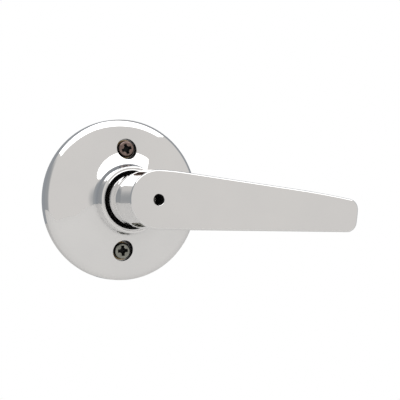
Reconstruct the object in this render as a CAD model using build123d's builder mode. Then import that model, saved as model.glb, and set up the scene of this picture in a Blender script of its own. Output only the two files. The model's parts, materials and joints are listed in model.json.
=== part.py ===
"""Door lever handle: one half-set of a lever on a round rose, with its works.

Frame, in millimetres: +Z is up and the arm points along +X. The door's face is the
plane y = 0 and the origin is on the spindle's axis. The handle stands out of the door
along -Y, so a depth of d in front of the door is y = -d. The through bolts, the spigot
and the spindle run along +Y into the door.
"""
from build123d import *
from math import asin, cos, radians, sin, tan
import os

os.makedirs("parts", exist_ok=True)

# ---- Driving dimensions -------------------------------------------------------------
FIT = 0.08                    # radial clearance of a running fit
PRESS = 0.02                  # radial clearance of pieces that don't move on each other

ROSE_R = 33.35                # 2 5/8 inch rose
ROSE_SHEET = 1.2
CONE_ANGLE = 18.0             # degrees, slope of the rose's face
SHOULDER_START_R = 30.5       # outside this radius the face rolls over to the rim
SHOULDER_R = 6.0
BELL_START_R = 21.1           # inside this radius the face rises in a bell to the collar
BELL_START_DEPTH = 8.58
BELL_R = 20.0
COLLAR_R = 13.9
COLLAR_BORE_R = 11.87
COLLAR_DEPTH = 18.85
COLLAR_BLEND = 2.6            # concave fillet between the bell and the collar
LIP_ROUND = 0.97              # both edges of the collar's lip

BOLT_SPACING = 42.1
BOLT_R = 2.08                 # 8-32 machine screw, over its thread
BOLT_NECK_R = 1.85            # plain part inside the rose
BOLT_REACH = 47.0             # behind the door's face
BOLT_HOLE_R = 2.4
BOLT_HEAD_R = 3.4
BOLT_HEAD_H = 2.4
RECESS_SPAN = 4.3             # Phillips recess, across its wings
RECESS_W = 1.35
RECESS_DEPTH = 1.7
RECESS_TURNS = (22.0, 6.0)    # how far each driven screw happens to be turned, in degrees
ROSE_HOLE_R = 4.3
WASHER_R = 3.75
WASHER_T = 0.6
BOSS_R = 5.0
BOSS_DEPTH = 5.4

PLATE_R = 32.1
PLATE_T = 1.8
SPIGOT_R = 26.7               # locates in a 54 mm bore of the door
SPIGOT_WALL = 1.5
SPIGOT_LEN = 2.5

HOUSING_R = 15.0
HOUSING_WALL = 1.2
HOUSING_TOP = 8.0             # depth of its front face
EAR_X = 20.0
EAR_Z = 7.5
EAR_T = 1.0
RIVET_X = 17.6
RIVET_Z = 4.6
RIVET_R = 1.2
RIVET_HEAD_R = 1.9
RIVET_HEAD_H = 0.7

SLEEVE_R = 7.0
SLEEVE_BORE_R = 5.7
SLEEVE_BACK = 0.6
SLEEVE_FRONT = 38.7
SLEEVE_END_T = 1.2
RING_DEPTH = 8.9              # back of the retaining ring
RING_T = 0.8
RING_R = 8.7
GROOVE_R = 6.45

TURN_LIMIT = 45.0             # degrees each way
CAM_BACK = 2.1
CAM_T = 1.2
CAM_R = 9.2
LUG_R = 13.3
LUG_HALF_ANGLE = 6.0
STOP_HALF_ANGLE = 6.0
STOP_R = 11.4

COIL_R = 10.3                 # return spring, mean radius
COIL_WIRE_R = 0.42
COIL_PITCH = 0.98
COIL_BACK = 3.85

INSERT_BACK = 2.0
INSERT_FRONT = 18.0
KEY_W = 2.4
SPINDLE_W = 7.0
SPINDLE_BORE_R = 2.0
SPINDLE_REACH = 45.0          # behind the door's face

ROD_R = 1.6
ROD_TIP = 39.6
ROD_REACH = 39.0
ROD_TRAVEL = 4.5
CLIP_BACK = 36.4
CLIP_T = 0.7
CLIP_R = 4.0
CLIP_GROOVE_R = 1.3
ROD_COIL_R = 2.35
ROD_COIL_WIRE_R = 0.22
ROD_COIL_PITCH = 2.2

SHANK_R = 11.05
SHANK_END = 10.3
BUSH_BACK = 9.7
BUSH_FRONT = 17.2
FLARE_START = 24.0            # where the shank begins to widen to the hub
HUB_R = 12.0
FACE_DEPTH = 49.8
SHOULDER_DEPTH = 40.3         # floor of the lever's bore
PIN_HOLE_R = 2.2
ARM_BACK = 37.8               # back of the arm beside the hub
ARM_TIP_BACK = 41.9           # back of the arm at its tip
TIP_TOP_X = 87.1
TIP_LOW_X = 86.1
TIP_LOW_Z = -9.95
TOP_SLOPE = 5.6               # degrees, fall of the arm's top edge
DROOP_START_X = 60.0          # from here the top edge falls faster, in an arc
DROOP_R = 400.0
TOP_BEND_R = 105.0            # bend of the top edge where it leaves the hub

CATCH_DEPTH = 24.0
CATCH_R = 1.85
CATCH_TIP = 9.6               # distance of its tip below the axis
CATCH_FOOT_R = 2.6
CATCH_FOOT_T = 0.75
CATCH_TRAVEL = 1.5

# ---- Helpers ------------------------------------------------------------------------
# Half section: local x is the radius and local y is the depth in front of the door.
SECTION = Plane(origin=(0, 0, 0), x_dir=(1, 0, 0), z_dir=(0, 0, -1))


def at_depth(depth):
    """The plane parallel to the door at this depth, facing away from the door."""
    return Plane.XZ.offset(depth)


def bolt_places(depth):
    """The two bolt axes, one above and one below the spindle."""
    return [Plane(origin=(0, -depth, side * BOLT_SPACING / 2), x_dir=(1, 0, 0), z_dir=(0, -1, 0))
            for side in (1, -1)]


def finish(piece, label):
    """Name a finished piece and write it."""
    piece.part.label = label
    export_step(piece.part, f"parts/{label}.step")
    sizes = piece.part.bounding_box().size
    print(f"{label}: {len(piece.part.solids())} solids, {piece.part.volume:.1f} mm3, "
          f"{sizes.X:.1f} x {sizes.Y:.1f} x {sizes.Z:.1f}")


def sector(inner_r, outer_r, middle, half_angle):
    """Points of a four sided wedge between two radii, about an angle in degrees."""
    low = radians(middle - half_angle)
    high = radians(middle + half_angle)
    return [(inner_r * cos(low), inner_r * sin(low)), (outer_r * cos(low), outer_r * sin(low)),
            (outer_r * cos(high), outer_r * sin(high)), (inner_r * cos(high), inner_r * sin(high))]


# ---- Rose: a drawn shell; its conical face rolls over a shoulder and rises to a collar
cone = radians(CONE_ANGLE)
shoulder_depth = BELL_START_DEPTH - (SHOULDER_START_R - BELL_START_R) * tan(cone)


def shoulder_point(radius):
    """Point of the shoulder's arc at this radius; the arc leaves the cone tangentially."""
    turn = asin((radius - SHOULDER_START_R) / SHOULDER_R + sin(cone))
    return radius, shoulder_depth - SHOULDER_R * (cos(cone) - cos(turn))


def bell_point(radius):
    """Point of the bell's arc at this radius; the arc too leaves the cone tangentially."""
    turn = asin((BELL_START_R - radius) / BELL_R + sin(cone))
    return radius, BELL_START_DEPTH + BELL_R * (cos(cone) - cos(turn))


def inward(point, slope):
    """The matching point of the sheet's inner surface, where the face has this slope."""
    return point[0] - ROSE_SHEET * sin(slope), point[1] - ROSE_SHEET * cos(slope)


collar_foot = bell_point(COLLAR_R + 0.1)
bell_middle = bell_point((BELL_START_R + COLLAR_R) / 2)
rim = shoulder_point(ROSE_R)
middle = shoulder_point((SHOULDER_START_R + ROSE_R) / 2)
middle_slope = asin((middle[0] - SHOULDER_START_R) / SHOULDER_R + sin(cone))
inner_start = inward((SHOULDER_START_R, shoulder_depth), cone)
inner_middle = inward(middle, middle_slope)
inner_rim = (ROSE_R - ROSE_SHEET, shoulder_point(ROSE_R - ROSE_SHEET)[1] - 1.5 * ROSE_SHEET)
with BuildPart() as rose:
    with BuildSketch(SECTION) as rose_profile:
        with BuildLine():
            ThreePointArc(rim, middle, (SHOULDER_START_R, shoulder_depth))
            Line((SHOULDER_START_R, shoulder_depth), (BELL_START_R, BELL_START_DEPTH))
            ThreePointArc((BELL_START_R, BELL_START_DEPTH), bell_middle, collar_foot)
            Polyline(collar_foot, (COLLAR_R, COLLAR_DEPTH), (COLLAR_BORE_R, COLLAR_DEPTH),
                     (COLLAR_BORE_R, 9.2), inward((BELL_START_R, BELL_START_DEPTH), cone), inner_start)
            ThreePointArc(inner_start, inner_middle, inner_rim)
            Polyline(inner_rim, (ROSE_R - ROSE_SHEET, 0), (ROSE_R, 0), rim)
        make_face()
        fillet(rose_profile.vertices().sort_by_distance(rim)[0], 0.9)
        fillet(rose_profile.vertices().sort_by_distance((COLLAR_R, COLLAR_DEPTH))[0], LIP_ROUND)
        fillet(rose_profile.vertices().sort_by_distance((COLLAR_BORE_R, COLLAR_DEPTH))[0], LIP_ROUND)
        fillet(rose_profile.vertices().sort_by_distance(collar_foot)[0], COLLAR_BLEND)
    revolve(axis=Axis.Y)
    for place in bolt_places(0):
        with BuildSketch(place):
            Circle(ROSE_HOLE_R)
        extrude(amount=COLLAR_DEPTH, mode=Mode.SUBTRACT)
finish(rose, "rose")

# ---- Mounting plate: base of the chassis, with bolt bosses and a spigot --------------
with BuildPart() as mounting_plate:
    with BuildSketch(at_depth(0)):
        Circle(PLATE_R)
    extrude(amount=PLATE_T)
    with BuildSketch(at_depth(-SPIGOT_LEN)):
        Circle(SPIGOT_R)
        Circle(SPIGOT_R - SPIGOT_WALL, mode=Mode.SUBTRACT)
    extrude(amount=SPIGOT_LEN)
    chamfer(mounting_plate.edges().group_by(Axis.Y)[-1], 0.4)
    for place in bolt_places(PLATE_T):
        with BuildSketch(place):
            Circle(BOSS_R)
        extrude(amount=BOSS_DEPTH - PLATE_T)
    for place in bolt_places(0):
        with BuildSketch(place):
            Circle(BOLT_HOLE_R)
        extrude(amount=BOSS_DEPTH, mode=Mode.SUBTRACT)
    with BuildSketch(at_depth(0)):
        Circle(SLEEVE_R + 1.9)
        with Locations((RIVET_X, RIVET_Z), (RIVET_X, -RIVET_Z), (-RIVET_X, RIVET_Z), (-RIVET_X, -RIVET_Z)):
            Circle(RIVET_R + PRESS)
    extrude(amount=PLATE_T, mode=Mode.SUBTRACT)
finish(mounting_plate, "mounting_plate")

# ---- Rear bearing: bronze ring in the plate's middle, around the sleeve --------------
with BuildPart() as rear_bearing:
    with BuildSketch(SECTION):
        with BuildLine():
            Polyline((SLEEVE_R + FIT, 0.3), (SLEEVE_R + 1.9 - PRESS, 0.3), (SLEEVE_R + 1.9 - PRESS, PLATE_T),
                     (SLEEVE_R + FIT, PLATE_T), close=True)
        make_face()
    revolve(axis=Axis.Y)
finish(rear_bearing, "rear_bearing")

# ---- Spring housing: a pressed cup with two riveted ears and two stops ---------------
STOP_AT = TURN_LIMIT + LUG_HALF_ANGLE + STOP_HALF_ANGLE + 1.0
with BuildPart() as spring_housing:
    with BuildSketch(at_depth(PLATE_T)):
        Rectangle(2 * EAR_X, 2 * EAR_Z)
    extrude(amount=EAR_T)
    fillet(spring_housing.edges().filter_by(Axis.Y), 2.5)
    with BuildSketch(at_depth(PLATE_T)):
        Circle(HOUSING_R)
    extrude(amount=HOUSING_TOP - PLATE_T)
    front_rim = spring_housing.edges().filter_by(GeomType.CIRCLE).sort_by(Axis.Y)[0]
    fillet(front_rim, 0.9)
    with BuildSketch(at_depth(PLATE_T)):
        Circle(HOUSING_R - HOUSING_WALL)
    extrude(amount=HOUSING_TOP - PLATE_T - HOUSING_WALL, mode=Mode.SUBTRACT)
    with BuildSketch(at_depth(PLATE_T)):
        Circle(SLEEVE_R + FIT)
        with Locations((RIVET_X, RIVET_Z), (RIVET_X, -RIVET_Z), (-RIVET_X, RIVET_Z), (-RIVET_X, -RIVET_Z)):
            Circle(RIVET_R + PRESS)
    extrude(amount=HOUSING_TOP, mode=Mode.SUBTRACT)
    for side in (1, -1):
        with BuildSketch(at_depth(PLATE_T)):
            with BuildLine():
                stop = sector(STOP_R, HOUSING_R - HOUSING_WALL + 0.1, -90 + side * STOP_AT, STOP_HALF_ANGLE)
                Polyline(*stop, close=True)
            make_face()
        extrude(amount=CAM_BACK + CAM_T - PLATE_T)
finish(spring_housing, "spring_housing")

# ---- Housing rivets ------------------------------------------------------------------
with BuildPart() as housing_rivets:
    for rivet_x in (RIVET_X, -RIVET_X):
        for rivet_z in (RIVET_Z, -RIVET_Z):
            rivet = Plane(origin=(rivet_x, -0.2, rivet_z), x_dir=(1, 0, 0), z_dir=(0, -1, 0))
            with BuildSketch(rivet):
                Circle(RIVET_R)
            extrude(amount=PLATE_T + EAR_T - 0.2)
            with BuildSketch(rivet.offset(PLATE_T + EAR_T - 0.2)):
                Circle(RIVET_HEAD_R)
            extrude(amount=RIVET_HEAD_H)
    chamfer(housing_rivets.edges().group_by(Axis.Y)[0], 0.3)
finish(housing_rivets, "housing_rivets")

# ---- Thrust washer: between the return spring and the housing ------------------------
with BuildPart() as thrust_washer:
    with BuildSketch(at_depth(HOUSING_TOP - HOUSING_WALL - 0.45)):
        Circle(HOUSING_R - HOUSING_WALL - 0.6)
        Circle(SLEEVE_R + 0.4, mode=Mode.SUBTRACT)
    extrude(amount=0.4)
finish(thrust_washer, "thrust_washer")

# ---- Spring washer: takes up the end play in front of the housing --------------------
with BuildPart() as spring_washer:
    with BuildSketch(SECTION):
        with BuildLine():
            Polyline((SLEEVE_R + 0.35, HOUSING_TOP + 0.35), (9.6, HOUSING_TOP), (9.6, HOUSING_TOP + 0.25),
                     (SLEEVE_R + 0.35, HOUSING_TOP + 0.6), close=True)
        make_face()
    revolve(axis=Axis.Y)
finish(spring_washer, "spring_washer")

# ---- Neck bush: nylon bearing in the collar, around the lever's shank ----------------
with BuildPart() as neck_bush:
    with BuildSketch(SECTION):
        with BuildLine():
            Polyline((SHANK_R + FIT, BUSH_BACK), (COLLAR_BORE_R - PRESS, BUSH_BACK),
                     (COLLAR_BORE_R - PRESS, BUSH_FRONT), (SHANK_R + 0.35, BUSH_FRONT),
                     (SHANK_R + FIT, BUSH_FRONT - 0.4), close=True)
        make_face()
    revolve(axis=Axis.Y)
finish(neck_bush, "neck_bush")

# ---- Through bolts and their washers -------------------------------------------------
HEAD_BACK = BOSS_DEPTH + WASHER_T
with BuildPart() as through_bolts:
    for place in bolt_places(0):
        with BuildSketch(place.offset(-BOLT_REACH)):
            Circle(BOLT_R)
        extrude(amount=BOLT_REACH - 0.3)
        with BuildSketch(place.offset(-0.3)):
            Circle(BOLT_NECK_R)
        extrude(amount=HEAD_BACK + 0.3)
        with BuildSketch(place.offset(HEAD_BACK)):
            Circle(BOLT_HEAD_R)
        extrude(amount=BOLT_HEAD_H)
    chamfer(through_bolts.edges().group_by(Axis.Y)[-1], 0.6)
    fillet(through_bolts.edges().group_by(Axis.Y)[0], 0.9)
    for place, turn in zip(bolt_places(HEAD_BACK + BOLT_HEAD_H), RECESS_TURNS):
        with BuildSketch(place):
            Rectangle(RECESS_SPAN, RECESS_W, rotation=turn)
            Rectangle(RECESS_W, RECESS_SPAN, rotation=turn)
            Circle(RECESS_W)
        extrude(amount=-RECESS_DEPTH, taper=14, mode=Mode.SUBTRACT)
finish(through_bolts, "through_bolts")

with BuildPart() as bolt_washers:
    for place in bolt_places(BOSS_DEPTH):
        with BuildSketch(place):
            Circle(WASHER_R)
            Circle(BOLT_HOLE_R - 0.2, mode=Mode.SUBTRACT)
        extrude(amount=WASHER_T)
finish(bolt_washers, "bolt_washers")

# ---- Drive sleeve: steel tube that carries the lever ---------------------------------
with BuildPart() as drive_sleeve:
    with BuildSketch(SECTION):
        with BuildLine():
            Polyline((SLEEVE_BORE_R, SLEEVE_BACK), (SLEEVE_R, SLEEVE_BACK), (SLEEVE_R, RING_DEPTH - 0.02),
                     (GROOVE_R, RING_DEPTH - 0.02), (GROOVE_R, RING_DEPTH + RING_T + 0.02),
                     (SLEEVE_R, RING_DEPTH + RING_T + 0.02), (SLEEVE_R, SLEEVE_FRONT),
                     (ROD_R + FIT, SLEEVE_FRONT), (ROD_R + FIT, SLEEVE_FRONT - SLEEVE_END_T),
                     (SLEEVE_BORE_R, SLEEVE_FRONT - SLEEVE_END_T), close=True)
        make_face()
    revolve(axis=Axis.Y)
    chamfer(drive_sleeve.edges().group_by(Axis.Y)[0].sort_by(SortBy.RADIUS)[-1], 0.5)
    with BuildSketch(at_depth(SLEEVE_BACK)):
        Rectangle(4 * SLEEVE_R, KEY_W + 0.05)
    extrude(amount=INSERT_BACK + 3.0, mode=Mode.SUBTRACT)
    with BuildSketch(Plane.XY.offset(-SLEEVE_R - 1)):
        with Locations((0, -CATCH_DEPTH)):
            Circle(CATCH_R + 0.05)
    extrude(amount=SLEEVE_R - 2.0, mode=Mode.SUBTRACT)
finish(drive_sleeve, "drive_sleeve")

# ---- Cam plate: keyed to the sleeve, its lug pushes the return spring ----------------
with BuildPart() as cam_plate:
    with BuildSketch(at_depth(CAM_BACK)):
        Circle(CAM_R)
        with BuildLine():
            Polyline(*sector(CAM_R - 0.6, LUG_R, -90, LUG_HALF_ANGLE), close=True)
        make_face()
        Circle(SLEEVE_R + PRESS, mode=Mode.SUBTRACT)
    extrude(amount=CAM_T)
    with BuildSketch(at_depth(CAM_BACK + CAM_T)):
        with BuildLine():
            Polyline(*sector(11.6, LUG_R, -90, LUG_HALF_ANGLE - 1.5), close=True)
        make_face()
    extrude(amount=2.2)
finish(cam_plate, "cam_plate")

# ---- Return spring: torsion coil with a leg each side of the cam's lug ---------------
LEG_ANGLE = 8.2
COIL_TURNS = 2 - 2 * LEG_ANGLE / 360
coil_start = radians(-90 + LEG_ANGLE)
coil_plane = Plane(origin=(0, -COIL_BACK, 0), x_dir=(cos(coil_start), 0, sin(coil_start)), z_dir=(0, -1, 0))
with BuildLine() as coil:
    Helix(COIL_PITCH, COIL_PITCH * COIL_TURNS, COIL_R)
coil_wire = coil_plane.from_local_coords(coil.line)
with BuildPart() as return_spring:
    with BuildSketch(Plane(origin=coil_wire @ 0, z_dir=coil_wire % 0)):
        Circle(COIL_WIRE_R)
    sweep(path=coil_wire)
    for leg_end in (coil_wire @ 0, coil_wire @ 1):
        outward = Vector(leg_end.X, 0, leg_end.Z).normalized()
        with BuildSketch(Plane(origin=leg_end - outward * 0.3, z_dir=outward)):
            Circle(COIL_WIRE_R - 0.03)
        extrude(amount=3.2)
finish(return_spring, "return_spring")

# ---- Retaining ring: open ring in the sleeve's groove --------------------------------
with BuildPart() as retaining_ring:
    with BuildSketch(at_depth(RING_DEPTH)):
        Circle(RING_R)
        Circle(GROOVE_R + PRESS, mode=Mode.SUBTRACT)
        with Locations((0, RING_R)):
            Rectangle(3.2, 8.0, mode=Mode.SUBTRACT)
    extrude(amount=RING_T)
finish(retaining_ring, "retaining_ring")

# ---- Spindle insert: keyed in the sleeve, square inside ------------------------------
with BuildPart() as spindle_insert:
    with BuildSketch(at_depth(INSERT_BACK)):
        Circle(SLEEVE_BORE_R - PRESS)
        Rectangle(SPINDLE_W + 2 * PRESS, SPINDLE_W + 2 * PRESS, mode=Mode.SUBTRACT)
    extrude(amount=INSERT_FRONT - INSERT_BACK)
    with BuildSketch(at_depth(INSERT_BACK)):
        for side in (1, -1):
            with Locations((side * 5.95, 0)):
                Rectangle(1.8, KEY_W)
    extrude(amount=3.0)
finish(spindle_insert, "spindle_insert")

# ---- Spindle: hollow square bar that turns the latch ---------------------------------
with BuildPart() as spindle:
    with BuildSketch(at_depth(-SPINDLE_REACH)):
        Rectangle(SPINDLE_W, SPINDLE_W)
        Circle(SPINDLE_BORE_R, mode=Mode.SUBTRACT)
    extrude(amount=SPINDLE_REACH + INSERT_FRONT)
    chamfer(spindle.edges().group_by(Axis.Y)[-1].filter_by(GeomType.LINE), 0.5)
finish(spindle, "spindle")

# ---- Lever: one casting of shank, hub and arm ----------------------------------------
SLOPE = radians(TOP_SLOPE)
bend_end = Vector(TOP_BEND_R * sin(SLOPE), HUB_R - TOP_BEND_R * (1 - cos(SLOPE)))
droop_start = Vector(DROOP_START_X, bend_end.Y - (DROOP_START_X - bend_end.X) * tan(SLOPE))
droop_turn = asin((TIP_TOP_X - DROOP_START_X) / DROOP_R + sin(SLOPE))
droop_end = Vector(TIP_TOP_X, droop_start.Y - DROOP_R * (cos(SLOPE) - cos(droop_turn)))
with BuildPart() as lever:
    with BuildSketch(at_depth(ARM_BACK)) as outline:
        with BuildLine():
            JernArc((0, HUB_R), (1, 0), TOP_BEND_R, -TOP_SLOPE)
            Line(bend_end, droop_start)
            TangentArc(droop_start, droop_end, tangent=(cos(SLOPE), -sin(SLOPE)))
            ThreePointArc(droop_end, (TIP_TOP_X, (droop_end.Y + TIP_LOW_Z) / 2), (TIP_LOW_X, TIP_LOW_Z))
            Line((TIP_LOW_X, TIP_LOW_Z), (0, -HUB_R))
            ThreePointArc((0, -HUB_R), (-HUB_R, 0), (0, HUB_R))
        make_face()
        fillet(outline.vertices().sort_by_distance(droop_end)[0], 4.3)
        fillet(outline.vertices().sort_by_distance((TIP_LOW_X, TIP_LOW_Z))[0], 4.2)
    extrude(amount=FACE_DEPTH - ARM_BACK)
    with BuildSketch(Plane.XY.offset(-2 * HUB_R)):
        with BuildLine():
            Polyline((HUB_R, -ARM_BACK + 1), (HUB_R, -ARM_BACK), (TIP_TOP_X, -ARM_TIP_BACK),
                     (TIP_TOP_X + 5, -ARM_TIP_BACK), (TIP_TOP_X + 5, -ARM_BACK + 1), close=True)
        make_face()
    extrude(amount=4 * HUB_R, mode=Mode.SUBTRACT)
    fillet(lever.faces().sort_by(Axis.Y)[0].edges(), 0.8)
    arm_back = lever.faces().filter_by(lambda f: f.normal_at().Y > 0.5).sort_by(Axis.X)[-1]
    fillet(arm_back.edges().filter_by(lambda e: e.center().X > HUB_R + 0.5), 2.2)
    with BuildSketch(SECTION):
        with BuildLine():
            Polyline((0, SHANK_END), (SHANK_R - 0.5, SHANK_END), (SHANK_R, SHANK_END + 0.5),
                     (SHANK_R, FLARE_START))
            Spline((SHANK_R, FLARE_START), (HUB_R, ARM_BACK), tangents=((0, 1), (0, 1)))
            Polyline((HUB_R, ARM_BACK), (HUB_R, ARM_BACK + 4.0), (0, ARM_BACK + 4.0), (0, SHANK_END))
        make_face()
    revolve(axis=Axis.Y)
    with BuildSketch(SECTION):
        with BuildLine():
            Polyline((0, 0), (SLEEVE_R + PRESS, 0), (SLEEVE_R + PRESS, SLEEVE_FRONT + 0.1),
                     (PIN_HOLE_R, SHOULDER_DEPTH), (PIN_HOLE_R, FACE_DEPTH - 0.2),
                     (PIN_HOLE_R + 0.3, FACE_DEPTH + 0.1), (0, FACE_DEPTH + 0.1), close=True)
        make_face()
    revolve(axis=Axis.Y, mode=Mode.SUBTRACT)
    with BuildSketch(Plane.XY.offset(-HUB_R - 1)):
        with Locations((0, -CATCH_DEPTH)):
            Circle(CATCH_R + 0.07)
    extrude(amount=HUB_R - 3.0, mode=Mode.SUBTRACT)
finish(lever, "lever")

# ---- Release rod: pushed through the hole in the hub ---------------------------------
with BuildPart() as release_rod:
    with BuildSketch(at_depth(-ROD_REACH)):
        Circle(ROD_R)
    extrude(amount=ROD_REACH + ROD_TIP)
    chamfer(release_rod.edges().filter_by(GeomType.CIRCLE), 0.3)
    with BuildSketch(at_depth(CLIP_BACK - 0.02)):
        Circle(ROD_R + 0.1)
        Circle(CLIP_GROOVE_R, mode=Mode.SUBTRACT)
    extrude(amount=CLIP_T + 0.04, mode=Mode.SUBTRACT)
finish(release_rod, "release_rod")

with BuildPart() as rod_clip:
    with BuildSketch(at_depth(CLIP_BACK)):
        Circle(CLIP_R)
        Circle(CLIP_GROOVE_R + PRESS, mode=Mode.SUBTRACT)
        with Locations((0, CLIP_R)):
            Rectangle(2 * CLIP_GROOVE_R, 2 * CLIP_R, mode=Mode.SUBTRACT)
    extrude(amount=CLIP_T)
finish(rod_clip, "rod_clip")

# ---- Release spring: returns the rod, between the insert and the clip ----------------
with BuildLine() as rod_coil:
    Helix(ROD_COIL_PITCH, CLIP_BACK - INSERT_FRONT - 0.6, ROD_COIL_R)
rod_coil_wire = at_depth(INSERT_FRONT + 0.3).from_local_coords(rod_coil.line)
with BuildPart() as release_spring:
    with BuildSketch(Plane(origin=rod_coil_wire @ 0, z_dir=rod_coil_wire % 0)):
        Circle(ROD_COIL_WIRE_R)
    sweep(path=rod_coil_wire)
finish(release_spring, "release_spring")

# ---- Lever catch: sprung pin that holds the lever on the sleeve ----------------------
foot_height = CATCH_TIP - (SLEEVE_BORE_R - 0.5)
with BuildPart() as lever_catch:
    with BuildSketch(Plane.XY.offset(-CATCH_TIP)):
        with Locations((0, -CATCH_DEPTH)):
            Circle(CATCH_R)
    extrude(amount=foot_height + CATCH_FOOT_T)
    fillet(lever_catch.edges().group_by(Axis.Z)[0], 0.5)
    with BuildSketch(Plane.XY.offset(-CATCH_TIP + foot_height)):
        with Locations((0, -CATCH_DEPTH)):
            Rectangle(2 * CATCH_R, 2 * CATCH_FOOT_R)
    extrude(amount=CATCH_FOOT_T)
finish(lever_catch, "lever_catch")

# ---- Catch spring: open ring inside the sleeve, around the rod -----------------------
CATCH_RING_R = 4.95
catch_ring_z = CATCH_RING_R - (CATCH_TIP - foot_height - CATCH_FOOT_T) + 0.02
with BuildPart() as catch_spring:
    with BuildSketch(at_depth(CATCH_DEPTH - 1.3)):
        with Locations((0, catch_ring_z)):
            Circle(CATCH_RING_R)
            Circle(CATCH_RING_R - 0.4, mode=Mode.SUBTRACT)
        with Locations((0, CATCH_RING_R)):
            Rectangle(4.4, 4.0, mode=Mode.SUBTRACT)
    extrude(amount=2.6)
finish(catch_spring, "catch_spring")
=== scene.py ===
"""Studio scene of a chrome door lever handle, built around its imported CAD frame.

Everything is in metres, in the frame of the CAD: +Z up, the arm along +X, the door's face
at y = 0 and the lever standing out towards -Y.
"""
import json
from math import cos, pi, radians, sin

import bmesh
import bpy
from mathutils import Matrix, Vector


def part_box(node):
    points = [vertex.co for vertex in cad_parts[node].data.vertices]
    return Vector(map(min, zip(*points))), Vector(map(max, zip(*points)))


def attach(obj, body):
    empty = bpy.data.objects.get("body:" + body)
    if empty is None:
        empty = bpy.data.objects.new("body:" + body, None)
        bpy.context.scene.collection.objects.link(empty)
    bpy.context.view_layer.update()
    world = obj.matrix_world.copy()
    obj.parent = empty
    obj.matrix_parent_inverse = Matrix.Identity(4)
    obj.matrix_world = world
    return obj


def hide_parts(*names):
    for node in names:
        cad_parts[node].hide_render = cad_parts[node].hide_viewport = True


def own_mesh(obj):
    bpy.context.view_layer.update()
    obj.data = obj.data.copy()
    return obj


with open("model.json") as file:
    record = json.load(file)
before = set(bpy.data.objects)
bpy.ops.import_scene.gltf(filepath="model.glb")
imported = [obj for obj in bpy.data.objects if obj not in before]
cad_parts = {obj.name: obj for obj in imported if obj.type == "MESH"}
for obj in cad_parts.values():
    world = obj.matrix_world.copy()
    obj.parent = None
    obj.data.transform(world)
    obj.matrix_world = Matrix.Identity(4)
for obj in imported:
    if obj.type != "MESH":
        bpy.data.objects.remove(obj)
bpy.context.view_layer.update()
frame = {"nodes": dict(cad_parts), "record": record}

# ---- Camera -----------------------------------------------------------------------------
MM = 0.001
CAMERA_YAW = radians(21.0)        # the camera stands this far to the left of the door's normal
CAMERA_RISE = radians(-0.9)       # and a little below the spindle
CAMERA_ROLL = radians(2.1)
CAMERA_DISTANCE = 1.0
CAMERA_AIM = Vector((28.85, -20.0, 1.07)) * MM
CAMERA_CLIP = (0.01, 20.0)
LENS_MM = 217.7
SENSOR_MM = 36.0

# ---- Studio -----------------------------------------------------------------------------
WHITE = (1.0, 1.0, 1.0)
ROOM_FRONT = (0.690, 0.670, 0.650)     # what the lever's face and the rose's face look at
ROOM_LEFT = (0.34, 0.35, 0.36)
ROOM_BACK = (0.31, 0.325, 0.345)
LEFT_TO_FRONT = (-0.86, -0.68)    # the x of a direction over which the left tone gives way
FRONT_TO_BACK = (-0.10, 0.12)     # the y of a direction over which the back's tone takes over

FLOOR_Z = -0.16
FLOOR_RADIUS = 0.8
FLOOR_SIDES = 96
FLOOR_COLOUR = (0.80, 0.785, 0.765)
FLOOR_ROUGHNESS = 0.7

SOFTBOX_X = (-1.02, 1.10)
SOFTBOX_Y = (-0.98, -0.04)
SOFTBOX_Z = 1.0
SOFTBOX_RADIANCE = 1.35

# ---- Measures of the part ---------------------------------------------------------------
SPINDLE = (0.0, 0.0)              # x and z of an axis parallel to Y
BOLT_OFFSET = 0.02105             # the bolts' distance above and below the spindle
SCREWS = [(0.0, BOLT_OFFSET), (0.0, -BOLT_OFFSET)]
SCREW_HOLE_RADIUS = 0.0043
PIN_HOLE_RADIUS = 0.0022
COLLAR_BORE_RADIUS = 0.01187

BOLT_RADIUS = 0.00208
THREAD_ROOT_RADIUS = 0.00162
THREAD_PITCH = 0.000794           # 32 threads to the inch
THREAD_START_Y = 0.0001
HEAD_END_Y = 0.0002               # the CAD's heads are kept up to here, past the thread's start
THREAD_SIDES = 24                 # corners in one ring of the thread's skin
THREAD_ROWS = 8                   # rings in one pitch
FLANK_GAIN = 1.35                 # with the root's flat, leaves flats at crest and root
ROOT_FLAT = 0.15
TAPER_PITCHES = 2                 # the thread's end tapers over this many pitches
TAPER_END = 0.15                  # down to this share of its height

# ---- Painted shade in holes: axes parallel to Y, a radius around them, and the first and last y ---
FAR = 1.0                         # beyond every piece
# painted shade, near black: in the lever's pin hole, the rose's screw holes and collar bore
LEVER_PAINTED_SHADE = [([SPINDLE], PIN_HOLE_RADIUS + 0.0001, -FAR, -0.0395)]
ROSE_PAINTED_SHADE = [(SCREWS, SCREW_HOLE_RADIUS + 0.00003, -FAR, FAR),
             ([SPINDLE], COLLAR_BORE_RADIUS + 0.0001, -FAR, FAR)]
# painted shade, near black: in the screws' cross recess and down their heads' sides
SCREW_PAINTED_SHADE = [(SCREWS, 0.0023, -0.00836, -0.0062),      # the cross recess
              (SCREWS, 0.0036, -0.00785, -0.0055)]      # the head's side
PAINTED_SHADE_ROUGHNESS = 0.75

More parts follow.
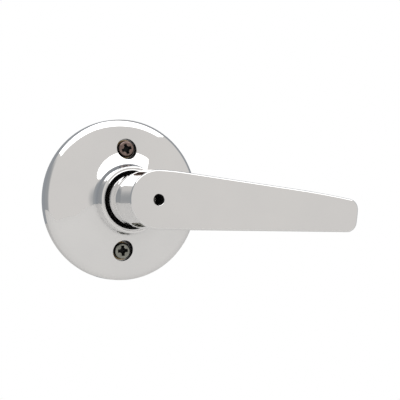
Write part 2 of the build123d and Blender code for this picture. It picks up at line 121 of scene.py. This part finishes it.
# ---- Metals, by slot: tones, range of roughness, size of grain, its stretch and relief ---
METALS = {
    "plain_steel": dict(dark=(0.40, 0.40, 0.40), light=(0.54, 0.53, 0.52), rough=(0.25, 0.38),
                        grain=500.0, stretch=(1.0, 0.1, 1.0), relief=0.000004),
    "spring_steel": dict(dark=(0.24, 0.25, 0.27), light=(0.34, 0.35, 0.36), rough=(0.25, 0.35),
                         grain=700.0),
    "dark_bronze": dict(dark=(0.17, 0.135, 0.11), light=(0.27, 0.23, 0.19), rough=(0.30, 0.42),
                        grain=260.0),
    "washer_bronze": dict(dark=(0.36, 0.24, 0.10), light=(0.50, 0.36, 0.18), rough=(0.30, 0.42),
                          grain=700.0),
    "bearing_bronze": dict(dark=(0.45, 0.28, 0.12), light=(0.62, 0.42, 0.20), rough=(0.35, 0.50),
                           grain=900.0, relief=0.000006),
}
POLISH_GRAIN = 1.7                # the polish varies over a finer grain than the tone
NOISE_LOW, NOISE_HIGH = 0.3, 0.7  # most of a noise lies between these
MIX_FACTOR, MIX_FIRST, MIX_SECOND, MIX_RESULT = 0, 6, 7, 2     # a colour mix's sockets


def link_object(name, data):
    """A new object of the scene."""
    piece = bpy.data.objects.new(name, data)
    bpy.context.collection.objects.link(piece)
    return piece


def add_camera():
    """Long lens, to the left of the lever and a little below it."""
    data = bpy.data.cameras.new("camera")
    data.lens = LENS_MM
    data.sensor_width = SENSOR_MM
    data.clip_start, data.clip_end = CAMERA_CLIP
    camera = link_object("camera", data)
    forward = Vector((sin(CAMERA_YAW) * cos(CAMERA_RISE), cos(CAMERA_YAW) * cos(CAMERA_RISE),
                      -sin(CAMERA_RISE)))
    right = Vector((cos(CAMERA_YAW), -sin(CAMERA_YAW), 0.0))
    up = right.cross(forward)
    turn = Matrix.Rotation(-CAMERA_ROLL, 3, forward)
    axes = Matrix((turn @ right, turn @ up, -forward)).transposed()
    place = Matrix.Translation(CAMERA_AIM - forward * CAMERA_DISTANCE)
    camera.matrix_world = place @ axes.to_4x4()
    bpy.context.scene.camera = camera


def add_softbox():
    """A large light overhead, reaching to the left and to the front; the camera can't see it."""
    width = SOFTBOX_X[1] - SOFTBOX_X[0]
    depth = SOFTBOX_Y[1] - SOFTBOX_Y[0]
    data = bpy.data.lights.new("overhead", "AREA")
    data.shape = "RECTANGLE"
    data.size = width
    data.size_y = depth
    data.energy = SOFTBOX_RADIANCE * pi * width * depth
    light = link_object("overhead", data)
    light.location = (sum(SOFTBOX_X) / 2, sum(SOFTBOX_Y) / 2, SOFTBOX_Z)
    light.rotation_mode = "QUATERNION"
    light.rotation_quaternion = Vector((0.0, 0.0, -SOFTBOX_Z)).to_track_quat("-Z", "Y")
    light.visible_camera = False


def add_floor():
    """A plain pale disc well below the rose."""
    bpy.ops.mesh.primitive_circle_add(vertices=FLOOR_SIDES, radius=FLOOR_RADIUS, fill_type="NGON",
                                      location=(0, 0, FLOOR_Z))
    floor = bpy.context.object
    floor.name = "floor"
    material, tree, shader = new_material("floor_paint", metallic=0.0)
    shader.inputs["Base Color"].default_value = (*FLOOR_COLOUR, 1.0)
    shader.inputs["Roughness"].default_value = FLOOR_ROUGHNESS
    floor.data.materials.append(material)


def add_world():
    """White to the camera; to the chrome, a grey room that is darker to the left and behind."""
    world = bpy.data.worlds.new("studio")
    bpy.context.scene.world = world
    world.use_nodes = True
    tree = world.node_tree
    tree.nodes.clear()
    x, y, _ = coordinates(tree, "Generated")
    sides = mix_colour(tree, smooth_step(tree, x, *LEFT_TO_FRONT), ROOM_LEFT, ROOM_FRONT)
    around = mix_colour(tree, smooth_step(tree, y, *FRONT_TO_BACK), sides, ROOM_BACK)
    room = tree.nodes.new("ShaderNodeBackground")
    white = tree.nodes.new("ShaderNodeBackground")
    path = tree.nodes.new("ShaderNodeLightPath")
    choose = tree.nodes.new("ShaderNodeMixShader")
    output = tree.nodes.new("ShaderNodeOutputWorld")
    feed(tree, room.inputs["Color"], around)
    feed(tree, white.inputs["Color"], WHITE)
    feed(tree, choose.inputs["Fac"], path.outputs["Is Camera Ray"])
    feed(tree, choose.inputs[1], room.outputs["Background"])
    feed(tree, choose.inputs[2], white.outputs["Background"])
    feed(tree, output.inputs["Surface"], choose.outputs["Shader"])


# ---- Shader nodes -----------------------------------------------------------------------
def feed(tree, socket, value):
    """Gives an input socket an output socket, a colour or a number."""
    if isinstance(value, bpy.types.NodeSocket):
        tree.links.new(value, socket)
    elif isinstance(value, tuple):
        socket.default_value = (*value, 1.0)
    else:
        socket.default_value = value


def coordinates(tree, kind="Object"):
    """The three coordinates of a point, or of a direction in the world."""
    source = tree.nodes.new("ShaderNodeTexCoord")
    split = tree.nodes.new("ShaderNodeSeparateXYZ")
    tree.links.new(source.outputs[kind], split.inputs["Vector"])
    return split.outputs["X"], split.outputs["Y"], split.outputs["Z"]


def maths(tree, operation, first, second):
    """One operation on two numbers; a comparison gives 1 or 0."""
    node = tree.nodes.new("ShaderNodeMath")
    node.operation = operation
    feed(tree, node.inputs[0], first)
    feed(tree, node.inputs[1], second)
    return node.outputs["Value"]


def map_range(tree, factor, start, end, low, high, smooth=False):
    """Low below start and high above end, in between along a line or a smooth step."""
    node = tree.nodes.new("ShaderNodeMapRange")
    if smooth:
        node.interpolation_type = "SMOOTHSTEP"
    node.inputs["From Min"].default_value = start
    node.inputs["From Max"].default_value = end
    node.inputs["To Min"].default_value = low
    node.inputs["To Max"].default_value = high
    tree.links.new(factor, node.inputs["Value"])
    return node.outputs["Result"]


def smooth_step(tree, value, start, end):
    """0 below start, 1 above end, smooth between."""
    return map_range(tree, value, start, end, 0.0, 1.0, smooth=True)


def spread(tree, factor, low, high):
    """A number between low and high that follows a noise."""
    return map_range(tree, factor, NOISE_LOW, NOISE_HIGH, low, high)


def mix_colour(tree, factor, first, second, blend="MIX"):
    """The first colour where the factor is 0, blended with the second where it is 1."""
    node = tree.nodes.new("ShaderNodeMix")
    node.data_type = "RGBA"
    node.blend_type = blend
    feed(tree, node.inputs[MIX_FACTOR], factor)
    feed(tree, node.inputs[MIX_FIRST], first)
    feed(tree, node.inputs[MIX_SECOND], second)
    return node.outputs[MIX_RESULT]


def noise(tree, scale, detail=4.0, stretch=(1.0, 1.0, 1.0)):
    """Noise over the object's own coordinates, stretched along any axis."""
    source = tree.nodes.new("ShaderNodeTexCoord")
    mapping = tree.nodes.new("ShaderNodeMapping")
    mapping.inputs["Scale"].default_value = stretch
    texture = tree.nodes.new("ShaderNodeTexNoise")
    texture.inputs["Scale"].default_value = scale
    texture.inputs["Detail"].default_value = detail
    tree.links.new(source.outputs["Object"], mapping.inputs["Vector"])
    tree.links.new(mapping.outputs["Vector"], texture.inputs["Vector"])
    return texture.outputs["Fac"]


def ramp(tree, factor, low, high, start=NOISE_LOW, end=NOISE_HIGH):
    """A colour between low and high that follows the factor from start to end."""
    node = tree.nodes.new("ShaderNodeValToRGB")
    first, last = node.color_ramp.elements
    first.position, first.color = start, (*low, 1.0)
    last.position, last.color = end, (*high, 1.0)
    tree.links.new(factor, node.inputs["Fac"])
    return node.outputs["Color"]


def near_axes(tree, axes, radius, first_y, last_y):
    """1 within this radius of any of the axes, each parallel to Y and given by its x and z."""
    x, y, z = coordinates(tree)
    flat = tree.nodes.new("ShaderNodeCombineXYZ")
    tree.links.new(x, flat.inputs["X"])
    tree.links.new(z, flat.inputs["Z"])
    masks = []
    for axis_x, axis_z in axes:
        distance = tree.nodes.new("ShaderNodeVectorMath")
        distance.operation = "DISTANCE"
        tree.links.new(flat.outputs["Vector"], distance.inputs[0])
        distance.inputs[1].default_value = (axis_x, 0.0, axis_z)
        masks.append(maths(tree, "LESS_THAN", distance.outputs["Value"], radius))
    after = maths(tree, "GREATER_THAN", y, first_y)
    before = maths(tree, "LESS_THAN", y, last_y)
    return maths(tree, "MULTIPLY", either(tree, masks), maths(tree, "MULTIPLY", after, before))


def either(tree, masks):
    """1 where any of the masks is."""
    total = masks[0]
    for mask in masks[1:]:
        total = maths(tree, "MAXIMUM", total, mask)
    return total


# ---- Materials --------------------------------------------------------------------------
def new_material(name, metallic=1.0):
    """A material, its node tree and its shader."""
    material = bpy.data.materials.new(name)
    material.use_nodes = True
    tree = material.node_tree
    shader = tree.nodes["Principled BSDF"]
    shader.inputs["Metallic"].default_value = metallic
    return material, tree, shader


def paint(tree, shader, colour, roughness):
    """Links a colour and a roughness into the shader."""
    tree.links.new(colour, shader.inputs["Base Color"])
    tree.links.new(roughness, shader.inputs["Roughness"])


def bump(tree, shader, height, distance):
    """Relief of this depth where the height goes from 0 to 1."""
    node = tree.nodes.new("ShaderNodeBump")
    node.inputs["Strength"].default_value = 1.0
    node.inputs["Distance"].default_value = distance
    tree.links.new(height, node.inputs["Height"])
    tree.links.new(node.outputs["Normal"], shader.inputs["Normal"])


def add_painted_shade(tree, shader, places):
    """In these places shade is painted: the surface turns near black, dull and not metallic."""
    mask = either(tree, [near_axes(tree, *place) for place in places])
    own_colour = shader.inputs["Base Color"].links[0].from_socket
    polish = shader.inputs["Roughness"].links[0].from_socket
    # the near-black colour of the painted shade
    painted_shade = ramp(tree, noise(tree, scale=900.0), (0.003, 0.003, 0.003), (0.007, 0.007, 0.006))
    dull = maths(tree, "MULTIPLY", mask, PAINTED_SHADE_ROUGHNESS)
    paint(tree, shader, mix_colour(tree, mask, own_colour, painted_shade), maths(tree, "MAXIMUM", polish, dull))
    tree.links.new(maths(tree, "LESS_THAN", mask, 0.5), shader.inputs["Metallic"])


def metal(name, dark, light, rough, grain, stretch=(1.0, 1.0, 1.0), relief=0.0):
    """A metal whose tone and polish vary a little over a noise grain."""
    material, tree, shader = new_material(name)
    tone = noise(tree, grain, stretch=stretch)
    polish = noise(tree, grain * POLISH_GRAIN, stretch=stretch)
    paint(tree, shader, ramp(tree, tone, dark, light), spread(tree, polish, *rough))
    if relief:
        bump(tree, shader, tone, relief)
    return material


def black_nylon():
    """Dull black plastic."""
    material, tree, shader = new_material("black_nylon", metallic=0.0)
    grain = noise(tree, scale=1500.0)
    paint(tree, shader, ramp(tree, grain, (0.002, 0.002, 0.002), (0.005, 0.005, 0.005)),
          spread(tree, grain, 0.62, 0.74))
    shader.inputs["Specular IOR Level"].default_value = 0.25
    return material


def zinc():
    """Bright zinc plate: a fine grain, a faint yellow and blue cast, and dull rubbed patches."""
    material, tree, shader = new_material("zinc_plate")
    grain = noise(tree, scale=1600.0, detail=6.0)
    cloud = noise(tree, scale=55.0, detail=3.0)
    tint = ramp(tree, cloud, (0.60, 0.62, 0.64), (0.69, 0.68, 0.64), start=0.25, end=0.75)
    fleck = ramp(tree, grain, (0.86, 0.86, 0.86), WHITE)
    paint(tree, shader, mix_colour(tree, 1.0, tint, fleck, blend="MULTIPLY"),
          spread(tree, noise(tree, scale=130.0), 0.24, 0.40))
    bump(tree, shader, grain, 0.000006)
    return material


def chrome(name, painted_shade):
    """Bright chrome with a faint wipe haze and hairline wear, and painted shade, near black, in the
    given holes.
    """
    material, tree, shader = new_material(name)
    haze = noise(tree, scale=45.0, detail=3.0)
    wipes = noise(tree, scale=420.0, detail=2.0, stretch=(0.12, 1.0, 1.0))
    cloud = maths(tree, "MULTIPLY", haze, wipes)
    paint(tree, shader, ramp(tree, haze, (0.855, 0.857, 0.860), (0.890, 0.890, 0.888)),
          spread(tree, cloud, 0.035, 0.075))
    bump(tree, shader, wipes, 0.0000008)
    add_painted_shade(tree, shader, painted_shade)
    return material


def screw_steel():
    """Bronzed screw heads, browner on the upper one; painted shade, black, in the recess and down
    the sides.
    """
    material, tree, shader = new_material("screw_bronze")
    grain = noise(tree, scale=420.0)
    brown = ramp(tree, grain, (0.19, 0.135, 0.12), (0.30, 0.225, 0.20))
    olive = ramp(tree, grain, (0.23, 0.235, 0.205), (0.35, 0.355, 0.32))
    z = coordinates(tree)[2]
    upper = maths(tree, "GREATER_THAN", z, 0.0)
    paint(tree, shader, mix_colour(tree, upper, olive, brown),
          spread(tree, noise(tree, scale=700.0), 0.30, 0.42))
    # painted shade: black in the cross recess and down the heads' sides
    add_painted_shade(tree, shader, SCREW_PAINTED_SHADE)
    return material


def thread_steel():
    """Bronzed thread, lighter on its crests and near black in its roots."""
    material, tree, shader = new_material("thread_steel")
    grain = noise(tree, scale=600.0)
    crest = ramp(tree, grain, (0.40, 0.35, 0.27), (0.56, 0.51, 0.42))
    root = ramp(tree, grain, (0.05, 0.042, 0.035), (0.10, 0.085, 0.065))
    in_root = near_axes(tree, SCREWS, (THREAD_ROOT_RADIUS + BOLT_RADIUS) / 2, -FAR, FAR)
    paint(tree, shader, mix_colour(tree, in_root, crest, root),
          spread(tree, noise(tree, scale=900.0), 0.28, 0.42))
    return material


def dress_nodes():
    """Every CAD node takes the material of its record slot; the two chromed ones have their own."""
    materials = {slot: metal(slot, **look) for slot, look in METALS.items()}
    materials["zinc_plate"] = zinc()
    materials["black_nylon"] = black_nylon()
    chromed = {"lever": chrome("lever_chrome", LEVER_PAINTED_SHADE),
               "rose": chrome("rose_chrome", ROSE_PAINTED_SHADE)}
    slots = {part["node"]: part["material_slot"] for part in frame["record"]["subparts"]}
    for node, piece in frame["nodes"].items():
        piece.data.materials.clear()
        piece.data.materials.append(chromed.get(node) or materials[slots[node]])


# ---- Through bolts ----------------------------------------------------------------------
def link_mesh(name, mesh):
    """A new object made of this bmesh, which is used up."""
    data = bpy.data.meshes.new(name)
    mesh.to_mesh(data)
    mesh.free()
    return link_object(name, data)


def thread_height(y, first_y, last_y, turn):
    """Height of the thread from 0 at its root to 1 at its crest; turn is the angle in turns."""
    phase = (y / THREAD_PITCH + turn) % 1.0
    flank = 1.0 - abs(2.0 * phase - 1.0)
    height = min(1.0, max(0.0, FLANK_GAIN * flank - ROOT_FLAT))
    end_taper = (last_y - y) / (TAPER_PITCHES * THREAD_PITCH) + TAPER_END
    start_taper = (y - first_y) / THREAD_PITCH
    return height * max(0.0, min(1.0, end_taper, start_taper))


def add_thread(name, x, z, first_y, last_y):
    """A screw thread along Y: one closed skin whose radius follows a helix, tapered at its ends."""
    rows = int((last_y - first_y) / THREAD_PITCH * THREAD_ROWS)
    mesh = bmesh.new()
    rings = []
    for row in range(rows + 1):
        y = first_y + (last_y - first_y) * row / rows
        ring = []
        for side in range(THREAD_SIDES):
            turn = side / THREAD_SIDES
            height = thread_height(y, first_y, last_y, turn)
            radius = THREAD_ROOT_RADIUS + (BOLT_RADIUS - THREAD_ROOT_RADIUS) * height
            angle = 2 * pi * turn
            ring.append(mesh.verts.new((x + radius * cos(angle), y, z + radius * sin(angle))))
        rings.append(ring)
    for lower, upper in zip(rings, rings[1:]):
        for side in range(THREAD_SIDES):
            after = (side + 1) % THREAD_SIDES
            mesh.faces.new((lower[side], upper[side], upper[after], lower[after]))
    ends = [mesh.faces.new(rings[0]), mesh.faces.new(list(reversed(rings[-1])))]
    for face in mesh.faces:
        face.smooth = face not in ends
    bmesh.ops.recalc_face_normals(mesh, faces=mesh.faces)
    return link_mesh(name, mesh)


def add_screw_heads(name):
    """The CAD's bolts without what lies behind their heads, closed again where they were cut."""
    mesh = bmesh.new()
    mesh.from_mesh(frame["nodes"]["through_bolts"].data)
    everything = list(mesh.verts) + list(mesh.edges) + list(mesh.faces)
    cut = bmesh.ops.bisect_plane(mesh, geom=everything, plane_co=(0, HEAD_END_Y, 0),
                                 plane_no=(0, 1, 0), clear_outer=True)
    rims = [item for item in cut["geom_cut"] if isinstance(item, bmesh.types.BMEdge)]
    bmesh.ops.edgeloop_fill(mesh, edges=rims)
    return link_mesh(name, mesh)


def add_bolts():
    """Real threads and the CAD's own heads stand for the plain bolts of the CAD."""
    _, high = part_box("through_bolts")
    dressed = [(add_screw_heads("bolt_heads"), screw_steel())]
    steel = thread_steel()
    for name, (x, z) in zip(("bolt_thread_upper", "bolt_thread_lower"), SCREWS):
        dressed.append((add_thread(name, x, z, THREAD_START_Y, high[1]), steel))
    for piece, material in dressed:
        piece.data.materials.append(material)
        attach(piece, "chassis")
        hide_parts("through_bolts")


# ---- Springs ----------------------------------------------------------------------------
def add_spring(node):
    """A copy of a CAD spring on the handle's body, in place of the CAD's own."""
    source = frame["nodes"][node]
    piece = link_object(node + "_coil", source.data.copy())
    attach(piece, "handle")
    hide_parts(node)
    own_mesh(piece)


def add_springs():
    """Copies of the release spring, which presses on the insert, and the catch spring, whose ring
    presses on the sleeve's top.
    """
    add_spring("release_spring")
    add_spring("catch_spring")


add_camera()
add_world()
add_floor()
add_softbox()
dress_nodes()
add_bolts()
add_springs()

bpy.context.scene.view_settings.view_transform = "Standard"
